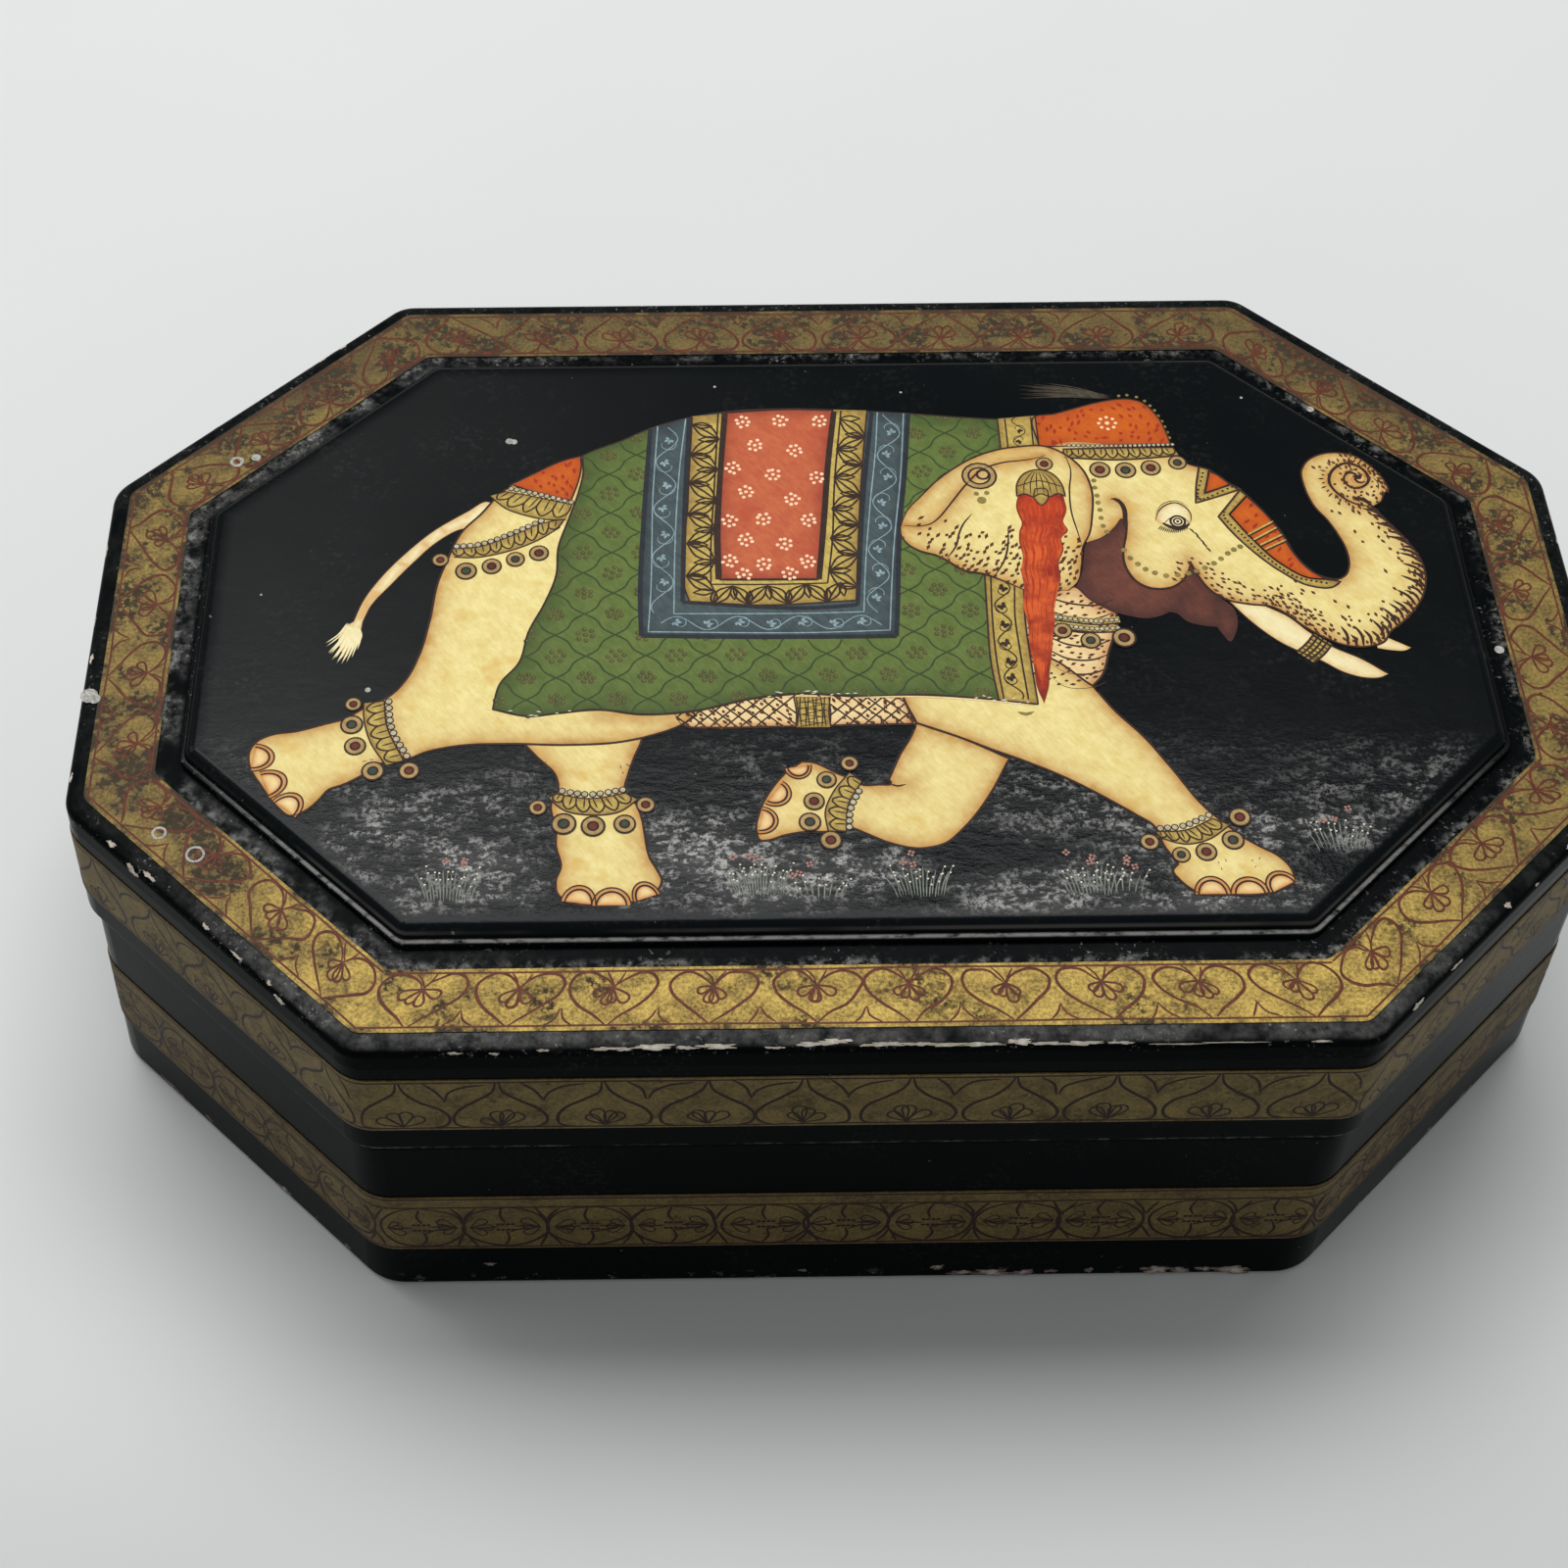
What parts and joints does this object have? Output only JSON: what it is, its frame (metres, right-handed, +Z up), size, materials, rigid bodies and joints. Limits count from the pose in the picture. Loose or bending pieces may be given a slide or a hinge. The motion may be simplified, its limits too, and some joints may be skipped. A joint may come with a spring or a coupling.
{
  "type": "lacquered box",
  "caption": "Eight-sided lacquered papier-mache box with a lift-off lid, raised picture panel and gilded bands, for keeping small things.",
  "frame": {"origin": "middle of the underside, on the surface the box stands on", "axes": "+X along the long side, +Y from front to back, +Z up"},
  "size_m": [0.1564, 0.1002, 0.0481],
  "materials": {
    "black_lacquer": "black gloss lacquer over papier-mache, dusty and chipped at the edges",
    "inner_lacquer": "plain black lacquer inside, satin",
    "picture_lacquer": "black gloss lacquer under a painted and varnished picture",
    "gold_ground": "bronze-gold painted ground with dark red line ornament, varnished"
  },
  "bodies": {
    "base": {"base_wall": "black_lacquer", "base_floor": "inner_lacquer", "base_collar": "inner_lacquer", "gilt_band_base": "gold_ground"},
    "lid": {"lid_wall": "black_lacquer", "lid_top": "black_lacquer", "lid_panel": "picture_lacquer", "gilt_border_top": "gold_ground", "gilt_band_lid": "gold_ground"}
  },
  "joints": [
    {"name": "lid_lift", "type": "slide", "parent": "base", "child": "lid", "axis": [0, 0, 1], "range_m": [0, 0.06]}
  ]
}
